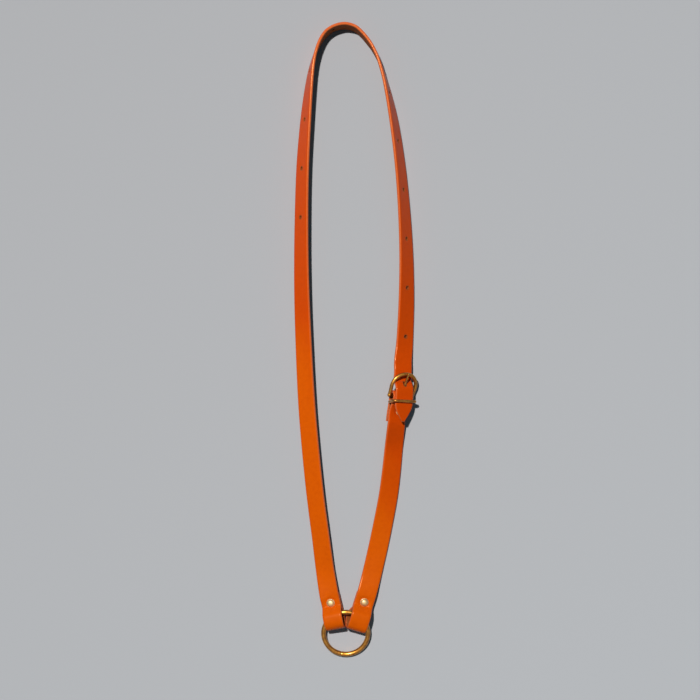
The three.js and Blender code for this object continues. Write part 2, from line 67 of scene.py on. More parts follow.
FOLD_LENGTH = 27
RIGHT_FOLD_EXTRA = 2.8
FOLD_TAIL = 8
FOLD_PLAY = 1.5
FOLD_SWELL = 0.8
LEFT_FOLD_LEAN = 10
RIGHT_FOLD_LEAN = 5

RIVET_CAP_DIAMETER = 8.6
RIVET_CAP_HEIGHT = 2.2
RIVET_FLANGE = 0.9
RIVET_POST_DIAMETER = 2.6
RIVET_SOCKET_DIAMETER = 4.6
RIVET_FIT = 0.3

BUCKLE_LEAN = 27
FRAME_WIRE = 3.8
FRAME_BOSS_DIAMETER = 4.8
FRAME_LENGTH = 24.3
FRAME_HEEL_PLAY = 2.2
FRAME_SHOULDER_PLAY = 3.6
FRAME_LIFT = 18.5
FRAME_LEAN = 4.5
SHOULDER_SHARE = 0.7
CROSSING = 12.8
BAR_DIAMETER = 2.8
BAR_CLEARANCE = 1.35
TONGUE_DIAMETER = 2.6
TONGUE_TIP_DIAMETER = 2
TONGUE_OVERHANG = 0.2
TONGUE_DRIFT = 1.4  # how far to one side the tongue's tip lies on the arch
SLOT_CLEARANCE = 0.5

CHAPE_RIVET = 15.3
CHAPE_TAIL = 11
CHAPE_RIVET_OFFSET = 1.8
CHAPE_SET = 0.4  # the buckle fold sits this far to one side of the bar's middle
CHAPE_DRIFT = 1.8  # and this much further to that side at its end

KEEPER_WIRE = 3
KEEPER_SIDE_PLAY = 1.3
KEEPER_SEAM = 0.4
KEEPER_CORNER = 2.2
KEEPER_LEAN = 10

# Small shapes that only the looks have.

RIGHT_FOLD_BULGE = -3.4  # how far the lower layer of the right fold bulges to one side
EDGE_ROUND = 1.5  # radius of the burnished arris
HOLE_DIMPLE = 0.22  # how far the leather is drawn down at a hole's rim
HOLE_DIMPLE_REACH = 0.5
HOLE_WALL_AND_SHADE_REACH = 0.5  # how far the dark wall of a hole, with its painted shade, shows on the face
PRESSED = 0.75  # how far the leather is pressed in under a rivet
PRESSED_FROM, PRESSED_TO = 4.4, 6.8  # the pressing fades between these radii
RIVETED_DEPTH = 9  # a rivet presses the layers this near to its middle
DRAWN_LONG = 2  # the tongue's hole is this much longer than the others
DRAWN_ALONG, DRAWN_ACROSS = 0.6, 0.7  # and this far along and to one side of its first place
KNOB_WEAR = 0.92  # the frame's end knobs are rubbed down to this share of their size
RING_JOINT = -103  # degrees round the ring, where its two ends butt
RING_NOTCH, RING_NOTCH_REACH = 0.13, 0.5  # depth as a share of the wire, and reach
RING_SWELL, RING_SWELL_FROM, RING_SWELL_REACH = 0.035, 1.6, 1.2  # the hammered ends by it

half_width = STRAP_WIDTH / 2
half_thickness = STRAP_THICKNESS / 2
layer_step = STRAP_THICKNESS + LAYER_GAP
lower_layer = RIVET_FLANGE + LAYER_GAP + half_thickness
upper_layer = lower_layer + layer_step
fold_crown = lower_layer + 2 * half_thickness + RING_WIRE + 2 * FOLD_PLAY + FOLD_SWELL
fold_radius = (fold_crown - lower_layer) / 2
left_fold_rise = half_width * sin(radians(LEFT_FOLD_LEAN))
right_fold_rise = half_width * sin(radians(RIGHT_FOLD_LEAN))
ring_radius = (RING_INNER_DIAMETER + RING_WIRE) / 2
ring_top = left_fold_rise + lower_layer + fold_radius
ring_tilt = asin((ring_top - RING_WIRE / 2) / (2 * ring_radius))
rivet_grip = LAYER_GAP + STRAP_THICKNESS + layer_step

# --- Places ----------------------------------------------------------------------------------


def joint_place(name):
    for joint in frame["record"]["behaviour"]["joints"]:
        if joint["name"] == name:
            return Vector(joint["pos_m"]) / METRES
    raise ValueError(name)


# The routes are written from the ring's own place, so they move with it.
ring_centre = joint_place("ring_turn")
drawn_ring_centre = Vector(
    (-4.3, -266 - ring_radius * cos(ring_tilt), ring_radius * sin(ring_tilt) + RING_WIRE / 2)
)
shift = ring_centre - drawn_ring_centre


def frame_at(x, y, z, yaw, roll):
    """A local frame: x runs along the strap, y across it, z up out of its grain side."""
    turn = Matrix.Rotation(radians(yaw), 4, "Z") @ Matrix.Rotation(radians(roll), 4, "X")
    return Matrix.Translation(Vector((x, y, z)) + shift) @ turn


left_fold = frame_at(-18.4, -256.7, left_fold_rise, -77, LEFT_FOLD_LEAN)
right_fold = frame_at(13.9, -256.3, right_fold_rise, -107.5, -RIGHT_FOLD_LEAN)

bar_loop_radius = BAR_DIAMETER / 2 + BAR_CLEARANCE
chape_step = bar_loop_radius + half_thickness
chape_underside = chape_step + half_thickness
bar_height = half_width * sin(radians(BUCKLE_LEAN))
bar_height += (chape_underside + LAYER_GAP) * cos(radians(BUCKLE_LEAN))
buckle = frame_at(51.14, -47.1, bar_height, -94, -BUCKLE_LEAN)

tongue_eye_radius = BAR_DIAMETER / 2 + LAYER_GAP + TONGUE_DIAMETER / 2
keeper_from_bar = tongue_eye_radius + TONGUE_DIAMETER / 2 + LAYER_GAP + KEEPER_WIRE / 2
strap_over_bar = chape_underside + LAYER_GAP + half_thickness
arch_height = FRAME_LENGTH * sin(radians(FRAME_LIFT))
arch_reach = FRAME_LENGTH * cos(radians(FRAME_LIFT))
strap_under_frame = SHOULDER_SHARE * arch_height - FRAME_WIRE / 2 - LAYER_GAP - half_thickness


def smoothstep(value, low, high):
    share = min(max((value - low) / (high - low), 0), 1)
    return share * share * (3 - 2 * share)


# --- Routes ----------------------------------------------------------------------------------


def spline(points, share):
    """A point on the smooth curve through the points, share of the way from first to last."""
    last = len(points) - 1
    i = min(int(share * last), last - 1)
    part = share * last - i
    p1, p2 = points[i], points[i + 1]
    p0 = points[i - 1] if i > 0 else 2 * p1 - p2
    p3 = points[i + 2] if i + 2 <= last else 2 * p2 - p1
    step = sqrt((p2 - p1).length)
    step = step if step > 1e-4 else 1
    step_in = sqrt((p1 - p0).length)
    step_in = step_in if step_in > 1e-4 else step
    step_out = sqrt((p3 - p2).length)
    step_out = step_out if step_out > 1e-4 else step
    start = ((p1 - p0) / step_in - (p2 - p0) / (step_in + step) + (p2 - p1) / step) * step
    end = ((p2 - p1) / step - (p3 - p1) / (step + step_out) + (p3 - p2) / step_out) * step
    square = 3 * (p2 - p1) - 2 * start - end
    cube = 2 * (p1 - p2) + start + end
    return p1 + part * (start + part * (square + part * cube))


class Route:
    """The middle line of a strap, and which way its width lies, by length from its start."""

    DIVISIONS = 3000

    def __init__(self, stations):
        self.points = [point for point, side in stations]
        self.sides = [side for point, side in stations]
        self.reach = [0.0]
        before = self.points[0]
        for i in range(1, self.DIVISIONS + 1):
            here = spline(self.points, i / self.DIVISIONS)
            self.reach.append(self.reach[-1] + (here - before).length)
            before = here
        self.length = self.reach[-1]

    def share_at(self, length):
        low, high = 0, self.DIVISIONS
        while high - low > 1:
            middle = (low + high) // 2
            if self.reach[middle] <= length:
                low = middle
            else:
                high = middle
        span = self.reach[high] - self.reach[low]
        return (low + (length - self.reach[low]) / span) / self.DIVISIONS

    def axes_at(self, length):
        share = self.share_at(min(max(length, 0), self.length))
        near = 0.0001
        ahead = spline(self.points, min(share + near, 1))
        behind = spline(self.points, max(share - near, 0))
        travel = (ahead - behind).normalized()
        side = spline(self.sides, share)
        side = (side - travel * side.dot(travel)).normalized()
        return spline(self.points, share), side, travel.cross(side), travel

    def nearest(self, point, after=0):
        best, least = 0, 1e9
        for i, length in enumerate(self.reach):
            if length < after:
                continue
            gap = (spline(self.points, i / self.DIVISIONS) - point).length
            if gap < least:
                best, least = length, gap
        return best


def station(place, along, across, up, side):
    across_axis = place.to_3x3() @ Vector((0, side, 0))
    return place @ Vector((along, across, up)), across_axis


def ring_fold_stations(place, length, bulge=0.0):
    """Stations round a ring fold. Its lower layer may bulge to one side before the turn."""
    turn = length - FOLD_THICKNESS / 2 - fold_radius
    stations = []
    for along in (-FOLD_TAIL, -FOLD_TAIL / 2, 0, 0.25 * turn, 0.5 * turn):
        stations.append(station(place, along, 0, lower_layer, -1))
    stations.append(station(place, 0.75 * turn, 0.9 * bulge, lower_layer, -1))
    for i in range(7):
        angle = pi * i / 6 - pi / 2
        up = lower_layer + fold_radius + fold_radius * sin(angle)
        across = 0.7 * bulge * (1 - i / 6) ** 2
        stations.append(station(place, turn + fold_radius * cos(angle), across, up, -1))
    rise = fold_crown - upper_layer
    for along, drop in ((0.56, 0.03), (0.41, 0.16), (0.27, 0.6), (0.15, 0.97)):
        stations.append(station(place, along * FOLD_LENGTH, 0, fold_crown - drop * rise, -1))
    stations.append(station(place, 0, 0, upper_layer, -1))
    stations.append(station(place, -FOLD_TAIL, 0, upper_layer, -1))
    return stations


def leaning_stations(entries, outward):
    """Stations of a stretch that rests on its outer edge: x, y, lean and any lift."""
    stations = []
    for i, (x, y, lean, *lift) in enumerate(entries):
        before = entries[max(i - 1, 0)]
        after = entries[min(i + 1, len(entries) - 1)]
        travel = Vector((after[0] - before[0], after[1] - before[1], 0)).normalized()
        outside = Vector((-travel.y, travel.x, 0)) * outward
        angle = radians(lean)
        grain = outside * sin(angle) + Vector((0, 0, cos(angle)))
        height = half_width * sin(angle) + half_thickness * cos(angle) + sum(lift)
        stations.append((Vector((x, y, height)) + shift, grain.cross(travel)))
    return stations


# From the left fold, up and over the top of the loop, and down to the buckle: x, y and lean.
LONG_SIDE = [
    (-25.4, -224.5, 20),
    (-29.5, -193, 26),
    (-35.5, -147, 28),
    (-40.2, -101.5, 29),
    (-44, -56, 31),
    (-47.2, 5, 36),
    (-49.2, 66, 42),
    (-49.4, 127, 48),
    (-48, 188, 53),
    (-45, 233.5, 60),
    (-42.3, 262, 68),
    (-39.2, 285, 77),
    (-35.6, 300, 84),
    (-31, 311.8, 88),
    (-26.2, 319.4, 90),
    (-18.5, 325.8, 90),
    (-6.1, 329.2, 90),
    (5, 326.6, 90),
    (11.8, 321, 90),
    (17, 315, 90),
    (22.4, 307.6, 88),
    (28.4, 296, 85),
    (34.4, 278, 81),
    (38.6, 262, 75),
    (44.7, 232, 66),
    (51, 187, 60),
    (55, 141.5, 54),
    (57.2, 96, 47),
    (57.3, 50.5, 39),
    (55.6, 8, 32),
]

# Through the buckle, along the strap and up from the bar.
OVER_BUCKLE = [
    (-arch_reach - 12, strap_under_frame - 1.4),
    (-arch_reach - 4, strap_under_frame - 0.3),
    (-arch_reach, strap_under_frame),
    (-SHOULDER_SHARE * arch_reach, strap_under_frame + 0.2),
    (-CROSSING, (strap_under_frame + strap_over_bar) / 2),
    (-CROSSING + 4.5, strap_over_bar - 0.6),
    (0, strap_over_bar),
    (keeper_from_bar, strap_over_bar),
    (14, strap_over_bar),
    (TIP_PAST_BAR, strap_over_bar + 0.4),
]

# From the right fold up to the buckle: x, y, lean and any lift.
SHORT_SIDE = [
    (21.6, -231.5, 3, 1.2),
    (25.6, -215, 2, 0.2),
    (28.8, -201, 2),
    (34.6, -172.6, 7),
    (39.2, -147.2, 12),
    (42.1, -124, 17),
    (44.7, -98, 22),
]

chape_reach = CHAPE_RIVET + CHAPE_TAIL


def chape_drift(along):
    return -CHAPE_SET - CHAPE_DRIFT * smoothstep(along, 0, chape_reach)


def chape_stations():
    lower = -chape_step
    upper = lower + layer_step
    rise = chape_step - upper
    places = [
        (chape_reach + 3, upper + 0.1),
        (CHAPE_RIVET + 0.5 * CHAPE_TAIL, upper),
        (CHAPE_RIVET, upper),
        (0.7 * CHAPE_RIVET, upper + 0.25 * rise),
        (0.4 * CHAPE_RIVET, upper + 0.72 * rise),
        (0.16 * CHAPE_RIVET, upper + 0.96 * rise),
    ]
    for i in range(7):
        angle = pi / 2 + pi * i / 6
        places.append((chape_step * cos(angle), chape_step * sin(angle)))
    for share in (0.35, 0.7, 1):
        places.append((share * CHAPE_RIVET, lower))
    places.append((CHAPE_RIVET + 0.5 * CHAPE_TAIL, lower))
    places.append((chape_reach, lower))
    return [station(buckle, along, chape_drift(along), up, -1) for along, up in places]


neck_route = Route(
    ring_fold_stations(left_fold, FOLD_LENGTH)
    + leaning_stations(LONG_SIDE, 1)
    + [station(buckle, along, 0, up, 1) for along, up in OVER_BUCKLE]
)
buckle_strap_route = Route(
    ring_fold_stations(right_fold, FOLD_LENGTH + RIGHT_FOLD_EXTRA, RIGHT_FOLD_BULGE)
    + leaning_stations(SHORT_SIDE, -1)
    + chape_stations()
)
chape_rivet = buckle @ Matrix.Translation(
    (
        CHAPE_RIVET,
        chape_drift(CHAPE_RIVET) + CHAPE_RIVET_OFFSET,
        -chape_underside - LAYER_GAP - RIVET_FLANGE,
    )
)

# --- Making a piece --------------------------------------------------------------------------


def to_object(name, bm, smooth_angle=40):
    """A finished piece from a mesh in millimetres: its place is in its mesh."""
    bmesh.ops.transform(bm, matrix=Matrix.Scale(METRES, 4), verts=bm.verts)
    bmesh.ops.recalc_face_normals(bm, faces=bm.faces)
    mesh = bpy.data.meshes.new(name)
    bm.to_mesh(mesh)
    bm.free()
    mesh.shade_smooth()
    mesh.set_sharp_from_angle(angle=radians(smooth_angle))
    piece = bpy.data.objects.new(name, mesh)
    bpy.context.scene.collection.objects.link(piece)
    return piece


def fit(piece, material, body, node):
    """Gives a piece its finish, and puts it on its body in place of its CAD solid."""
    piece.data.materials.append(material)
    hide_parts(node)
    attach(piece, body)


# --- Leather ---------------------------------------------------------------------------------

EDGE_COLUMNS = (0, 0.06, 0.25, 0.6, 1.05)  # distances in from a cut edge that carry the rounding
CELL = 1.0  # size of a blank's cells
HOLE_MARGIN = 0.45  # cells this near to a hole are cut away with it
FAR_FROM_HOLES = 9.0


def across_lines():
    """Where the blank's lengthwise lines run, from one edge to the other."""
    inner = [CELL * i for i in range(int(half_width - EDGE_ROUND) + 1)]
    outer = [half_width - d for d in reversed(EDGE_COLUMNS)]
    right = inner + outer
    return [-u for u in reversed(right[1:])] + right


def along_lines(length, stops, step):
    """Where the blank's cross lines run: one on each stop, and close ones at both ends."""
    ends = list(EDGE_COLUMNS)
    lines = ends[:]
    fixed = [EDGE_ROUND, *sorted(stops), length - EDGE_ROUND]
    for start, end in zip(fixed, fixed[1:]):
        count = max(1, round((end - start) / step))
        lines += [start + (end - start) * i / count for i in range(count)]
    lines.append(length - EDGE_ROUND)
    lines += [length - d for d in reversed(ends)]
    return lines


def edge_drop(distance):
    """How far the face falls away near a cut edge."""
    if distance >= EDGE_ROUND:
        return 0
    return EDGE_ROUND - sqrt(EDGE_ROUND**2 - (EDGE_ROUND - distance) ** 2)


class Hole:
    """A round or slotted hole in a blank: where its middle is, its width and its length."""

    def __init__(self, along, across=0.0, width=HOLE_DIAMETER, length=None):
        self.along = along
        self.across = across
        self.radius = width / 2
        self.stretch = (length or width) / 2 - self.radius

    def from_middle(self, across, along):
        """The way from the hole's middle line to a spot on the blank."""
        v = along - self.along
        v -= min(max(v, -self.stretch), self.stretch)
        return Vector((across - self.across, v))

    def takes(self, across, along):
        return self.from_middle(across, along).length < self.radius + HOLE_MARGIN

    def rim(self, across, along):
        way = self.from_middle(across, along)
        on_line = Vector((across, along)) - way
        return on_line + way.normalized() * self.radius


def cut_strap(route, holes, step, width_share, thickness_share):
    """Cuts a flat blank, punches its holes, gives it its thickness and bends it to its route."""
    columns = across_lines()
    rows = along_lines(route.length, [hole.along for hole in holes], step)
    bm = bmesh.new()
    bmesh.ops.create_grid(bm, x_segments=len(columns) - 1, y_segments=len(rows) - 1, size=1)
    for vert in bm.verts:
        column = round((vert.co.x + 1) / 2 * (len(columns) - 1))
        row = round((vert.co.y + 1) / 2 * (len(rows) - 1))
        vert.co = (columns[column], rows[row], 0)

    for hole in holes:
        low = hole.along - hole.stretch - hole.radius - 2 * step
        high = hole.along + hole.stretch + hole.radius + 2 * step
        inside = [v for v in bm.verts if low < v.co.y < high and hole.takes(v.co.x, v.co.y)]
        around = {edge.other_vert(v) for v in inside for edge in v.link_edges} - set(inside)
        faces = {face for v in inside for face in v.link_faces}
        corners = {v for face in faces for v in face.verts} - set(inside) - around
        bmesh.ops.delete(bm, geom=inside, context="VERTS")
        for vert in around | corners:
            vert.co.xy = hole.rim(vert.co.x, vert.co.y)

    bmesh.ops.solidify(bm, geom=bm.faces[:], thickness=STRAP_THICKNESS)
    levels = [v.co.z for v in bm.verts]
    middle_level = (min(levels) + max(levels)) / 2

    flesh = bm.verts.layers.float.new("flesh")
    cut = bm.verts.layers.float.new("cut")
    punched = bm.verts.layers.float.new("punched")
    for vert in bm.verts:
        u, v = vert.co.x, vert.co.y
        grain_side = vert.co.z > middle_level
        from_edge = min(half_width - abs(u), v, route.length - v)
        from_hole = FAR_FROM_HOLES
        for hole in holes:
            if abs(v - hole.along) < FAR_FROM_HOLES + hole.stretch:
                from_hole = min(from_hole, hole.from_middle(u, v).length - hole.radius)
        height = half_thickness - edge_drop(max(from_edge, 0))
        height -= HOLE_DIMPLE * exp(-max(from_hole, 0) / HOLE_DIMPLE_REACH)
        vert[flesh] = 0 if grain_side else 1
        vert[cut] = 1 - smoothstep(from_edge, 0, EDGE_ROUND)
        # Nearness to a hole, which carries the hole's dark wall and its painted shade.
        vert[punched] = 1 - smoothstep(from_hole, 0, HOLE_WALL_AND_SHADE_REACH)
        vert.co.z = height if grain_side else -height

    uv = bm.loops.layers.uv.new("strap")
    for face in bm.faces:
        for loop in face.loops:
            spot = loop.vert.co
            loop[uv].uv = (spot.x + spot.z, spot.y)

    known = {}
    for vert in bm.verts:
        u, v, z = vert.co
        key = round(v, 3)
        if key not in known:
            known[key] = (*route.axes_at(v), width_share(v), thickness_share(v))
        point, side, grain, _, wide, thick = known[key]
        vert.co = point + side * (u * wide) + grain * (z * thick)
    return bm


def away_from_turn(length):
    from_turn = abs(length - FOLD_TAIL - FOLD_LENGTH) / (FOLD_LENGTH / 2)
    return smoothstep(from_turn, 0.4, 1)


def fold_thickness(length):
    share = FOLD_THICKNESS / STRAP_THICKNESS
    return share + (1 - share) * away_from_turn(length)


def fold_width(length):
    share = FOLD_WIDTH / STRAP_WIDTH
    return share + (1 - share) * away_from_turn(length)


def point_share(length):
    """Half width towards the pointed end, as a share of the full one, with a rounded nose."""
    left = max(neck_route.length - length, 0)
    if left >= POINT_LENGTH:
        return 1
    end_share = POINT_END / half_width
    return end_share + (1 - end_share) * sin(pi / 2 * (left / POINT_LENGTH) ** POINT_FULLNESS)


def press_under_rivet(bm, place):
    """Presses both faces of a riveted fold in under the cap and the flange."""
    back = place.inverted()
    middle = RIVET_FLANGE + LAYER_GAP + STRAP_THICKNESS + LAYER_GAP / 2
    for vert in bm.verts:
        spot = back @ vert.co
        reach = hypot(spot.x, spot.y)
        if reach > PRESSED_TO or abs(spot.z - middle) > RIVETED_DEPTH:
            continue
        share = 1 - smoothstep(reach, PRESSED_FROM, PRESSED_TO)
        spot.z -= PRESSED * share * (spot.z - middle) / STRAP_THICKNESS
        vert.co = place @ spot


def rivet_holes(route, place, levels):
    holes = []
    after = 0
    for level in levels:
        on_axis = place @ Vector((0, 0, level))
        along = route.nearest(on_axis, after)
        point, side, _, _ = route.axes_at(along)
        width = RIVET_SOCKET_DIAMETER + 2 * RIVET_FIT
        holes.append(Hole(along, (on_axis - point).dot(side), width))
        after = along + FOLD_LENGTH / 2
    return holes


def make_neck_strap():
    crossing = buckle @ Vector((-CROSSING, 0, (strap_under_frame + strap_over_bar) / 2))
    tongue_hole = neck_route.nearest(crossing, neck_route.length / 2)
    holes = rivet_holes(neck_route, left_fold, (lower_layer, upper_layer))
    for i in range(HOLE_COUNT - 1, 0, -1):
        holes.append(Hole(tongue_hole - i * HOLE_PITCH))
    # The leaning tongue has drawn its hole long, and a little to one side.
    holes.append(Hole(tongue_hole + DRAWN_ALONG, DRAWN_ACROSS, length=HOLE_DIAMETER + DRAWN_LONG))
    bm = cut_strap(
        neck_route, holes, CELL, lambda at: fold_width(at) * point_share(at), fold_thickness
    )
    press_under_rivet(bm, left_fold)
    return bm


def make_buckle_strap():
    turn = buckle_strap_route.nearest(
        buckle @ Vector((-chape_step, chape_drift(0), 0)), buckle_strap_route.length / 2
    )
    holes = rivet_holes(buckle_strap_route, right_fold, (lower_layer, upper_layer))
    front = pi * chape_step / 2
    back = tongue_eye_radius + TONGUE_DIAMETER / 2 + SLOT_CLEARANCE
    chape_levels = (
        RIVET_FLANGE + LAYER_GAP + half_thickness + layer_step,
        RIVET_FLANGE + LAYER_GAP + half_thickness,
    )
    width = RIVET_SOCKET_DIAMETER + 2 * RIVET_FIT
    for level, after in zip(chape_levels, (buckle_strap_route.length / 2, turn)):
        on_axis = chape_rivet @ Vector((0, 0, level))
        along = buckle_strap_route.nearest(on_axis, after)
        point, side, _, _ = buckle_strap_route.axes_at(along)
        holes.append(Hole(along, (on_axis - point).dot(side), width))
    slot_width = TONGUE_DIAMETER + 2 * SLOT_CLEARANCE
    holes.append(Hole(turn, chape_drift(0), slot_width, 2 * (front + back)))
    bm = cut_strap(buckle_strap_route, holes, CELL, fold_width, fold_thickness)
    press_under_rivet(bm, right_fold)
    press_under_rivet(bm, chape_rivet)
    return bm


# --- Metal pieces ----------------------------------------------------------------------------


def make_ring():
    bm = bmesh.new()
    wire = bmesh.ops.create_circle(bm, radius=RING_WIRE / 2, segments=28)["verts"]
    bmesh.ops.rotate(bm, verts=wire, cent=(0, 0, 0), matrix=Matrix.Rotation(pi / 2, 3, "X"))
    bmesh.ops.translate(bm, verts=wire, vec=(ring_radius, 0, 0))
    bmesh.ops.spin(
        bm, geom=bm.edges[:], cent=(0, 0, 0), axis=(0, 0, 1), angle=2 * pi, steps=256,
        use_merge=True,
    )
    joint = Vector((cos(radians(RING_JOINT)), sin(radians(RING_JOINT)), 0))
    across_joint = Vector((-joint.y, joint.x, 0))
    for vert in bm.verts:
        outward = Vector((vert.co.x, vert.co.y, 0)).normalized()
        middle = outward * ring_radius
        from_joint = (vert.co - joint * ring_radius).dot(across_joint)
        if outward.dot(joint) < 0.9:
            continue
        notch = RING_NOTCH * exp(-((from_joint / RING_NOTCH_REACH) ** 2))
        from_swell = (abs(from_joint) - RING_SWELL_FROM) / RING_SWELL_REACH
        swell = RING_SWELL * exp(-(from_swell**2))
        vert.co = middle + (vert.co - middle) * (1 - notch + swell)
    place = Matrix.Translation(ring_centre) @ Matrix.Rotation(ring_tilt, 4, "X")
    bmesh.ops.transform(bm, matrix=place, verts=bm.verts)
    return bm


def draw_wire(bm, points, radii, sides=20):
    """Draws wire through the points, one radius for each, and closes its two ends."""
    turn = Vector((0, 0, 1)).rotation_difference(points[1] - points[0])
    place = Matrix.Translation(points[0]) @ turn.to_matrix().to_4x4()
    loop = bmesh.ops.create_circle(bm, radius=radii[0], segments=sides, matrix=place)["verts"]
    edges = list({edge for v in loop for edge in v.link_edges})
    first_edges = edges
    for i in range(1, len(points)):
        before = points[i] - points[i - 1]
        after = points[i + 1] - points[i] if i + 1 < len(points) else before
        heading = (before.normalized() + after.normalized()).normalized()
        turn = (turn @ Vector((0, 0, 1))).rotation_difference(heading) @ turn
        next_place = Matrix.Translation(points[i]) @ turn.to_matrix().to_4x4()
        next_place = next_place @ Matrix.Scale(radii[i] / radii[0], 4)
        made = bmesh.ops.extrude_edge_only(bm, edges=edges)["geom"]
        loop = [part for part in made if isinstance(part, bmesh.types.BMVert)]
        ring = set(loop)
        edges = [p for p in made if isinstance(p, bmesh.types.BMEdge) and set(p.verts) <= ring]
        bmesh.ops.transform(bm, matrix=next_place @ place.inverted(), verts=loop)
        place = next_place
    bmesh.ops.edgeloop_fill(bm, edges=first_edges)
    bmesh.ops.edgeloop_fill(bm, edges=edges)


def rounded_ends(points, radius, end):
    """Points and radii for a wire whose ends are rounded over a length of end."""
    count = 5
    start_way = (points[1] - points[0]).normalized()
    end_way = (points[-1] - points[-2]).normalized()
    shares = [sin(pi / 2 * (i + 0.5) / count) for i in range(count)]
    reach = [end * (1 - cos(pi / 2 * (i + 0.5) / count)) for i in range(count)]
    head = [points[0] + start_way * d for d in reach]
    tail = [points[-1] - end_way * d for d in reversed(reach)]
    inner = [p for p in points if (p - points[0]).length > end and (p - points[-1]).length > end]
    radii = [radius * s for s in shares] + [radius] * len(inner)
    radii += [radius * s for s in reversed(shares)]
    return head + inner + tail, radii


def through(points, count):
    return [spline(points, i / count) for i in range(count + 1)]


def fuse(name, bm, voxel, rounds):
    """Joins overlapping solids into one casting and softens the seams between them."""
    piece = to_object(name, bm)
    remesh = piece.modifiers.new("joined", "REMESH")
    remesh.mode = "VOXEL"
    remesh.voxel_size = voxel * METRES
    soften = piece.modifiers.new("softened", "SMOOTH")
    soften.factor = 0.5
    soften.iterations = rounds
    whole = piece.evaluated_get(bpy.context.evaluated_depsgraph_get())
    mesh = bpy.data.meshes.new_from_object(whole)
    piece.modifiers.clear()
    old = piece.data
    piece.data = mesh
    bpy.data.meshes.remove(old)
    mesh.name = name
    mesh.shade_smooth()
    return piece


frame_turn = Matrix.Rotation(radians(FRAME_LIFT), 4, "Y")
frame_turn = frame_turn @ Matrix.Rotation(radians(-FRAME_LEAN), 4, "Z")


def make_buckle_frame():
    heel = (STRAP_WIDTH + FRAME_HEEL_PLAY + FRAME_WIRE) / 2
    shoulder = (STRAP_WIDTH + FRAME_SHOULDER_PLAY + FRAME_WIRE) / 2
    half = [
        (0, heel),
        (-0.22 * FRAME_LENGTH, heel + 0.45 * (shoulder - heel)),
        (-0.5 * FRAME_LENGTH, shoulder),
        (-0.76 * FRAME_LENGTH, 0.84 * shoulder),
        (-0.94 * FRAME_LENGTH, 0.48 * shoulder),
    ]
    bow = [Vector((x, y, 0)) for x, y in half]
    bow.append(Vector((-FRAME_LENGTH, 0, 0)))
    bow += [Vector((x, -y, 0)) for x, y in reversed(half)]
    bm = bmesh.new()
    wire = through(bow, 120)
    draw_wire(bm, wire, [FRAME_WIRE / 2] * len(wire))
    bar = [Vector((0, heel * (i / 12 - 1), 0)) for i in range(25)]
    draw_wire(bm, bar, [BAR_DIAMETER / 2] * len(bar))
    for y in (-heel, heel):
        bmesh.ops.create_uvsphere(
            bm, u_segments=24, v_segments=16, radius=KNOB_WEAR * FRAME_BOSS_DIAMETER / 2,
            matrix=Matrix.Translation((0, y, 0)),
        )
    bmesh.ops.transform(bm, matrix=buckle @ frame_turn, verts=bm.verts)
    return fuse("brass_buckle_frame", bm, 0.24, 6)


def make_tongue():
    rest = arch_height + FRAME_WIRE / 2 + LAYER_GAP + TONGUE_DIAMETER / 2
    start = Vector((-tongue_eye_radius * 0.8, 0, tongue_eye_radius * 0.6))
    on_arch = Vector((-arch_reach, TONGUE_DRIFT, rest))
    end = start.lerp(on_arch, 1 + TONGUE_OVERHANG / arch_reach)
    bm = bmesh.new()
    wire = bmesh.ops.create_circle(bm, radius=TONGUE_DIAMETER / 2, segments=20)["verts"]
    bmesh.ops.translate(bm, verts=wire, vec=(tongue_eye_radius, 0, 0))
    bmesh.ops.spin(
        bm, geom=bm.edges[:], cent=(0, 0, 0), axis=(0, 1, 0), angle=2 * pi, steps=64,
        use_merge=True,
    )
    shank = [start.lerp(end, i / 24) for i in range(25)]
    thick, thin = TONGUE_DIAMETER / 2, TONGUE_TIP_DIAMETER / 2
    radii = [thick + (thin - thick) * i / 24 for i in range(25)]
    nose = (end - start).normalized()
    for share in (0.3, 0.6, 0.85, 0.97):
        shank.append(end + nose * thin * share)
        radii.append(thin * sqrt(1 - share**2))
    draw_wire(bm, shank, radii)
    bmesh.ops.transform(bm, matrix=buckle, verts=bm.verts)
    return fuse("brass_tongue", bm, 0.18, 4)


def make_keeper():
    side = (STRAP_WIDTH + KEEPER_SIDE_PLAY + KEEPER_WIRE) / 2
    bottom = -chape_step + half_thickness + LAYER_GAP + KEEPER_WIRE / 2
    over_strap = strap_over_bar + half_thickness + LAYER_GAP + KEEPER_WIRE / 2
    top = bottom + (over_strap - bottom) / cos(radians(KEEPER_LEAN))
    corner = KEEPER_CORNER
    outline = [(KEEPER_SEAM / 2, bottom), (side / 2, bottom)]
    turns = (
        (side - corner, bottom + corner, -90),
        (side - corner, top - corner, 0),
        (corner - side, top - corner, 90),
        (corner - side, bottom + corner, 180),
    )
    for y, z, start in turns:
        for i in range(9):
            angle = radians(start + 90 * i / 8)
            outline.append((y + corner * cos(angle), z + corner * sin(angle)))
    outline += [(-side / 2, bottom), (-KEEPER_SEAM / 2, bottom)]
    points = [Vector((0, y, z - bottom)) for y, z in outline]
    points, radii = rounded_ends(points, KEEPER_WIRE / 2, 0.4)
    bm = bmesh.new()
    draw_wire(bm, points, radii, 24)
    foot = Matrix.Translation((keeper_from_bar, chape_drift(keeper_from_bar) / 2, bottom))
    lean = Matrix.Rotation(radians(-KEEPER_LEAN), 4, "Y")
    bmesh.ops.transform(bm, matrix=buckle @ foot @ lean, verts=bm.verts)
    return bm


def turn_profile(profile, place, steps=48):
    """Turns a profile of (radius, height) pairs about the rivet's axis."""
    bm = bmesh.new()
    verts = [bm.verts.new((radius, 0, height)) for radius, height in profile]
    edges = [bm.edges.new(pair) for pair in zip(verts, verts[1:])]
    bmesh.ops.spin(
        bm, geom=verts + edges, cent=(0, 0, 0), axis=(0, 0, 1), angle=2 * pi, steps=steps,
        use_merge=True,
    )
    bmesh.ops.remove_doubles(bm, verts=bm.verts, dist=0.001)
    bmesh.ops.transform(bm, matrix=place, verts=bm.verts)
    return bm


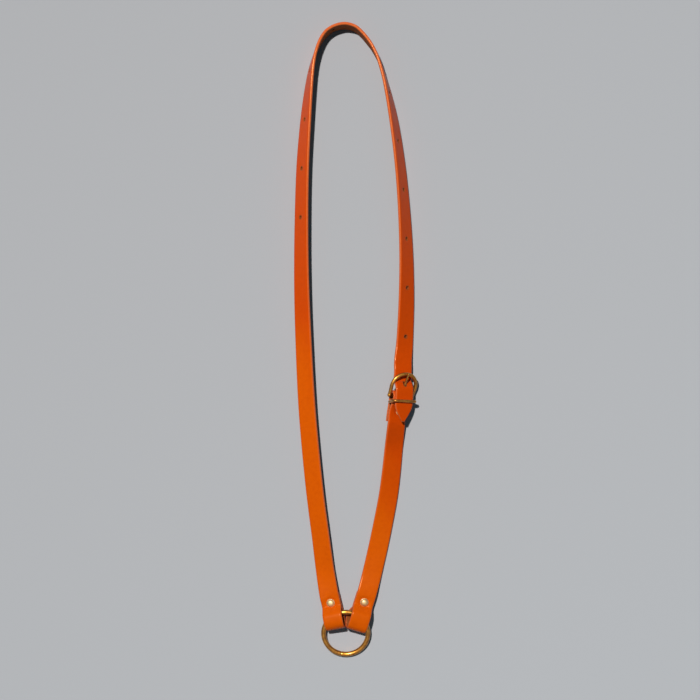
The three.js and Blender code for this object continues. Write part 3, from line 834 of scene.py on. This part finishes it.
def make_rivet_cap(place):
    """A pressed cap: a low dome rolled under at its edge, with its post."""
    radius = RIVET_CAP_DIAMETER / 2
    post = RIVET_POST_DIAMETER / 2
    seat = RIVET_FLANGE + rivet_grip - PRESSED
    crown = RIVET_FLANGE + rivet_grip + LAYER_GAP + RIVET_CAP_HEIGHT - 0.2
    lip = 0.45
    profile = [(0, RIVET_FLANGE + RIVET_FIT), (post, RIVET_FLANGE + RIVET_FIT), (post, seat + 0.1)]
    profile.append((radius - lip, seat + 0.1))
    for i in range(1, 7):
        angle = -pi / 2 + pi * i / 7
        profile.append((radius - lip + lip * cos(angle), seat + lip + lip * sin(angle)))
    dome = crown - seat - 2 * lip
    for i in range(13):
        share = 1 - i / 12
        spread = (radius - lip) * share
        profile.append((spread, seat + 2 * lip + dome * (1 - share**2.6) ** 0.7))
    return turn_profile(profile, place)


def make_rivet_flange(place):
    radius = RIVET_CAP_DIAMETER / 2
    socket = RIVET_SOCKET_DIAMETER / 2
    bore = RIVET_POST_DIAMETER / 2 + RIVET_FIT
    top = RIVET_FLANGE + rivet_grip - RIVET_FIT - PRESSED
    soft = 0.25
    profile = [(0, 0), (radius - soft, 0), (radius - soft * 0.3, soft * 0.3), (radius, soft)]
    profile += [(radius, RIVET_FLANGE - soft), (radius - soft * 0.3, RIVET_FLANGE - soft * 0.3)]
    profile += [(radius - soft, RIVET_FLANGE), (socket, RIVET_FLANGE), (socket, top)]
    profile += [(bore, top), (bore, RIVET_FLANGE), (0, RIVET_FLANGE)]
    return turn_profile(profile, place)


# --- Finishes --------------------------------------------------------------------------------

GRAIN = "#DE5A00"
GRAIN_DEEP = "#D24600"
GRAIN_DARK = "#B03800"
SUEDE = "#A65A2C"
SUEDE_DARK = "#7E3D1C"
# Cut-edge colours: the rubbed edge, painted paler as a highlight along its rounded arris.
RUBBED_EDGE_AND_HIGHLIGHT = "#E8753C"
RUBBED_EDGE_AND_HIGHLIGHT_DARK = "#BC481C"
# The holes' raw leather, darkened further as painted shade.
HOLE_WALL_AND_SHADE = "#9A4A1C"
WAX_SHINE = "#FFC084"

LACQUER = 0.7  # how much of the brass is still lacquered
LACQUER_ROUGHNESS = 0.2

COLOURS = {"data_type": "RGBA"}
MIX_SHARE, MIX_FIRST, MIX_SECOND, MIX_RESULT = 0, 6, 7, 2  # sockets of a colour mix


def linear(code):
    """An sRGB hex colour as linear red, green, blue and alpha."""
    parts = [int(code[i : i + 2], 16) / 255 for i in (1, 3, 5)]
    return [p / 12.92 if p <= 0.04045 else ((p + 0.055) / 1.055) ** 2.4 for p in parts] + [1]


def add(tree, kind, settings=None, inputs=None):
    """Adds a node with its settings. An input is a value, or the output to link into it."""
    made = tree.nodes.new("ShaderNode" + kind)
    for name, value in (settings or {}).items():
        setattr(made, name, value)
    for name, value in (inputs or {}).items():
        if isinstance(value, bpy.types.NodeSocket):
            tree.links.new(value, made.inputs[name])
        else:
            made.inputs[name].default_value = value
    return made


def new_material(name):
    material = bpy.data.materials.new(name)
    material.use_nodes = True
    tree = material.node_tree
    return material, tree, tree.nodes["Principled BSDF"]


def per_mm(size):
    """A texture scale, per metre, whose features are about that many millimetres across."""
    return 1 / (size * METRES)


def bridle_leather():
    """Vegetable-tanned bridle leather, drum-dyed and wax-finished: a tight, smooth grain side
    with a soft warm shine, a matt fibrous flesh side, cut edges rubbed down with wax, which are
    paler and shinier than the face and painted paler still as a highlight along their rounded
    arris, and dark raw leather inside the punched holes, painted darker still as shade in the
    holes and just round their rims."""
    material, tree, shader = new_material("bridle_leather")
    place = add(tree, "TexCoord").outputs["Object"]
    flesh = add(tree, "Attribute", {"attribute_name": "flesh"}).outputs["Fac"]
    cut = add(tree, "Attribute", {"attribute_name": "cut"}).outputs["Fac"]
    punched = add(tree, "Attribute", {"attribute_name": "punched"}).outputs["Fac"]

    # The grain colour is darker up the loop and towards its buckle side, and uneven in clouds and
    # in small mottles.
    spot = add(tree, "SeparateXYZ", inputs={0: place})
    deeper = add(tree, "Math", {"operation": "MULTIPLY_ADD"}, {
        0: spot.outputs["X"], 1: 1.8, 2: spot.outputs["Y"],
    })
    clouds = add(tree, "TexNoise", inputs={"Vector": place, "Scale": per_mm(70), "Detail": 3})
    patchy = add(tree, "Math", {"operation": "MULTIPLY_ADD"}, {
        0: clouds.outputs["Fac"], 1: 0.12, 2: deeper.outputs[0],
    })
    cloudy = add(tree, "MapRange", inputs={
        "Value": patchy.outputs[0], "From Min": -0.09, "From Max": 0.01,
    })
    mottles = add(tree, "TexNoise", inputs={"Vector": place, "Scale": per_mm(4), "Detail": 4})
    mottled = add(tree, "MapRange", inputs={
        "Value": mottles.outputs["Fac"], "From Min": 0.4, "From Max": 0.75, "To Max": 0.18,
    })
    dyed = add(tree, "Mix", COLOURS, {
        MIX_SHARE: cloudy.outputs[0], MIX_FIRST: linear(GRAIN), MIX_SECOND: linear(GRAIN_DEEP),
    })
    grain = add(tree, "Mix", COLOURS, {
        MIX_SHARE: mottled.outputs[0], MIX_FIRST: dyed.outputs[MIX_RESULT],
        MIX_SECOND: linear(GRAIN_DARK),
    })

    # Fibres on the flesh side lie in short tufts.
    tufts = add(tree, "TexNoise", inputs={
        "Vector": place, "Scale": per_mm(0.9), "Detail": 5, "Roughness": 0.7,
    })
    suede = add(tree, "Mix", COLOURS, {
        MIX_SHARE: tufts.outputs["Fac"], MIX_FIRST: linear(SUEDE),
        MIX_SECOND: linear(SUEDE_DARK),
    })
    faces = add(tree, "Mix", COLOURS, {
        MIX_SHARE: flesh, MIX_FIRST: grain.outputs[MIX_RESULT],
        MIX_SECOND: suede.outputs[MIX_RESULT],
    })

    # The rubbed edge is paler than the face, and its colour is painted paler still as a highlight
    # along the rounded arris. It keeps dark streaks where its layers of fibre show.
    streaks = add(tree, "TexNoise", inputs={"Vector": place, "Scale": per_mm(1.6), "Detail": 4})
    rubbed = add(tree, "Mix", COLOURS, {
        MIX_SHARE: streaks.outputs["Fac"], MIX_FIRST: linear(RUBBED_EDGE_AND_HIGHLIGHT),
        MIX_SECOND: linear(RUBBED_EDGE_AND_HIGHLIGHT_DARK),
    })
    rubbed_edge_and_highlight_mask = add(tree, "MapRange", inputs={"Value": cut, "From Min": 0.4, "From Max": 0.9})
    colour = add(tree, "Mix", COLOURS, {
        MIX_SHARE: rubbed_edge_and_highlight_mask.outputs[0], MIX_FIRST: faces.outputs[MIX_RESULT],
        MIX_SECOND: rubbed.outputs[MIX_RESULT],
    })
    # Raw leather darkens the holes, and painted shade darkens them further, just onto the face
    # round their rims.
    hole_wall_and_shade_mask = add(tree, "MapRange", inputs={"Value": punched, "From Min": 0.55})
    with_holes = add(tree, "Mix", COLOURS, {
        MIX_SHARE: hole_wall_and_shade_mask.outputs[0], MIX_FIRST: colour.outputs[MIX_RESULT],
        MIX_SECOND: linear(HOLE_WALL_AND_SHADE),
    })
    tree.links.new(with_holes.outputs[MIX_RESULT], shader.inputs["Base Color"])

    # Wax fills the grain unevenly; the flesh side has none.
    wax = add(tree, "TexNoise", inputs={"Vector": place, "Scale": per_mm(9), "Detail": 4})
    waxed = add(tree, "MapRange", inputs={
        "Value": wax.outputs["Fac"], "From Min": 0.3, "From Max": 0.7,
        "To Min": 0.34, "To Max": 0.44,
    })
    faces_rough = add(tree, "Mix", inputs={0: flesh, 2: waxed.outputs[0], 3: 0.85})
    burnished = add(tree, "MapRange", inputs={"Value": cut, "From Max": 0.3})
    rough = add(tree, "Mix", inputs={
        0: burnished.outputs[0], 2: faces_rough.outputs[0], 3: 0.17,
    })
    tree.links.new(rough.outputs[0], shader.inputs["Roughness"])
    shader.inputs["Specular IOR Level"].default_value = 0.25
    shader.inputs["Specular Tint"].default_value = linear(WAX_SHINE)

    # Pores are drawn 0.7 mm apart, coarser than real ones so that they show, over faint creases.
    pores = add(tree, "TexVoronoi", {"feature": "SMOOTH_F1"}, {
        "Vector": place, "Scale": per_mm(0.7), "Smoothness": 0.6,
    })
    creases = add(tree, "TexNoise", inputs={
        "Vector": place, "Scale": per_mm(2.4), "Detail": 5, "Roughness": 0.6,
    })
    fine = add(tree, "Bump", inputs={
        "Height": pores.outputs["Distance"], "Strength": 0.12, "Distance": 0.12 * METRES,
    })
    uneven = add(tree, "Bump", inputs={
        "Height": creases.outputs["Fac"], "Normal": fine.outputs[0],
        "Strength": 0.2, "Distance": 0.2 * METRES,
    })
    tree.links.new(uneven.outputs[0], shader.inputs["Normal"])
    return material


def antique_brass(name, bright, dull, rough):
    """Cast or drawn brass, chemically browned and rubbed back: warm and bright where it is
    rubbed, with brown stains left between, a shine softened by fine handling marks, and a thin
    lacquer that makes its highlights pale."""
    material, tree, shader = new_material(name)
    place = add(tree, "TexCoord").outputs["Object"]
    stains = add(tree, "TexNoise", inputs={
        "Vector": place, "Scale": per_mm(4), "Detail": 4, "Roughness": 0.6,
    })
    stained = add(tree, "MapRange", inputs={
        "Value": stains.outputs["Fac"], "From Min": 0.38, "From Max": 0.68,
    })
    colour = add(tree, "Mix", COLOURS, {
        MIX_SHARE: stained.outputs[0], MIX_FIRST: linear(bright), MIX_SECOND: linear(dull),
    })
    tree.links.new(colour.outputs[MIX_RESULT], shader.inputs["Base Color"])
    shader.inputs["Metallic"].default_value = 1
    shader.inputs["Coat Weight"].default_value = LACQUER
    shader.inputs["Coat Roughness"].default_value = LACQUER_ROUGHNESS
    roughness = add(tree, "MapRange", inputs={
        "Value": stains.outputs["Fac"], "From Min": 0.3, "From Max": 0.7,
        "To Min": rough, "To Max": rough + 0.12,
    })
    tree.links.new(roughness.outputs[0], shader.inputs["Roughness"])
    marks = add(tree, "TexNoise", inputs={"Vector": place, "Scale": per_mm(2.5), "Detail": 2})
    bump = add(tree, "Bump", inputs={
        "Height": marks.outputs["Fac"], "Strength": 0.25, "Distance": 0.1 * METRES,
    })
    tree.links.new(bump.outputs[0], shader.inputs["Normal"])
    return material


leather = bridle_leather()
cast_brass = antique_brass("antique_brass", "#D08E2C", "#965E1A", 0.32)
rivet_brass = antique_brass("pressed_brass", "#EACE98", "#C4A068", 0.55)

# --- The pieces ------------------------------------------------------------------------------

fit(to_object("leather_neck_strap", make_neck_strap(), 60), leather, "straps",
    "neck_strap")
fit(to_object("leather_buckle_strap", make_buckle_strap(), 60), leather, "straps",
    "buckle_strap")
fit(to_object("brass_ring", make_ring(), 60), cast_brass, "ring", "ring")
fit(make_buckle_frame(), cast_brass, "buckle_frame", "buckle_frame")
fit(make_tongue(), cast_brass, "buckle_tongue", "buckle_tongue")
fit(to_object("brass_keeper", make_keeper(), 60), cast_brass, "keeper", "keeper")

rivets = {
    "neck_strap_rivet": left_fold,
    "buckle_strap_rivet": right_fold,
    "buckle_fold_rivet": chape_rivet,
}
for rivet, place in rivets.items():
    cap = to_object(f"brass_{rivet}_cap", make_rivet_cap(place), 50)
    fit(cap, rivet_brass, "straps", f"{rivet}_cap")
    flange = to_object(f"brass_{rivet}_flange", make_rivet_flange(place), 50)
    fit(flange, rivet_brass, "straps", f"{rivet}_flange")

# --- Floor, light and camera -----------------------------------------------------------------

LAMP = Vector((-0.427, 0.662, 1.95))
LAMP_SIZE = 0.09
LAMP_POWER = 46
LAMP_FADE = 3.2  # how the light on the floor falls off with distance from the lamp
CAMERA_HEIGHT = 1.27
LENS = 63.84
FLOOR = "#B4B2B3"
FLOOR_REACH = 3
FLOOR_PALEST = 1.9  # the most that the paint makes up for the lamp's falling off
ROOM_FILL = "#32505A"
ROOM_WALLS = "#7C7C80"
ROOM_OVERHEAD = "#DCDCDC"


def make_floor():
    """A plain pale floor, painted paler where the lamp reaches it less, so it looks even."""
    bm = bmesh.new()
    bmesh.ops.create_grid(bm, x_segments=8, y_segments=8, size=FLOOR_REACH)
    mesh = bpy.data.meshes.new("floor")
    bm.to_mesh(mesh)
    bm.free()
    floor = bpy.data.objects.new("floor", mesh)
    bpy.context.scene.collection.objects.link(floor)
    material, tree, shader = new_material("painted_floor")
    place = add(tree, "TexCoord").outputs["Object"]
    reach = add(tree, "VectorMath", {"operation": "DISTANCE"}, {0: place, 1: LAMP})
    share = add(tree, "Math", {"operation": "DIVIDE"}, {0: reach.outputs["Value"], 1: LAMP.length})
    faded = add(tree, "Math", {"operation": "POWER"}, {0: share.outputs[0], 1: LAMP_FADE})
    paler = add(tree, "Math", {"operation": "MINIMUM"}, {0: faded.outputs[0], 1: FLOOR_PALEST})
    paint = add(tree, "VectorMath", {"operation": "SCALE"}, {
        0: linear(FLOOR)[:3], "Scale": paler.outputs[0],
    })
    tree.links.new(paint.outputs[0], shader.inputs["Base Color"])
    shader.inputs["Roughness"].default_value = 0.9
    shader.inputs["Specular IOR Level"].default_value = 0
    mesh.materials.append(material)


make_floor()

lamp_data = bpy.data.lights.new("studio_lamp", "AREA")
lamp_data.shape = "DISK"
lamp_data.size = LAMP_SIZE
lamp_data.energy = LAMP_POWER
lamp = bpy.data.objects.new("studio_lamp", lamp_data)
lamp.location = LAMP
lamp.rotation_euler = (-LAMP).to_track_quat("-Z", "Y").to_euler()
bpy.context.scene.collection.objects.link(lamp)

# A dim room fills the shadows. Shiny surfaces show its grey walls, which are paler overhead.
world = bpy.data.worlds.new("studio")
world.use_nodes = True
room = world.node_tree
path = add(room, "LightPath")
seen = add(room, "Math", {"operation": "MAXIMUM"}, {
    0: path.outputs["Is Camera Ray"], 1: path.outputs["Is Glossy Ray"],
})
upward = add(room, "SeparateXYZ", inputs={0: add(room, "TexCoord").outputs["Generated"]})
height = add(room, "MapRange", inputs={"Value": upward.outputs["Z"], "From Min": 0.3})
shell = add(room, "Mix", COLOURS, {
    MIX_SHARE: height.outputs[0], MIX_FIRST: linear(ROOM_WALLS),
    MIX_SECOND: linear(ROOM_OVERHEAD),
})
glow = add(room, "Mix", COLOURS, {
    MIX_SHARE: seen.outputs[0], MIX_FIRST: linear(ROOM_FILL),
    MIX_SECOND: shell.outputs[MIX_RESULT],
})
room.links.new(glow.outputs[MIX_RESULT], room.nodes["Background"].inputs["Color"])
room.nodes["Background"].inputs["Strength"].default_value = 1
bpy.context.scene.world = world

camera_data = bpy.data.cameras.new("camera")
camera_data.lens = LENS
camera_data.sensor_width = 36
camera = bpy.data.objects.new("camera", camera_data)
camera.location = (shift.x * METRES, shift.y * METRES, CAMERA_HEIGHT)
bpy.context.scene.collection.objects.link(camera)
bpy.context.scene.camera = camera
bpy.context.scene.view_settings.view_transform = "Standard"
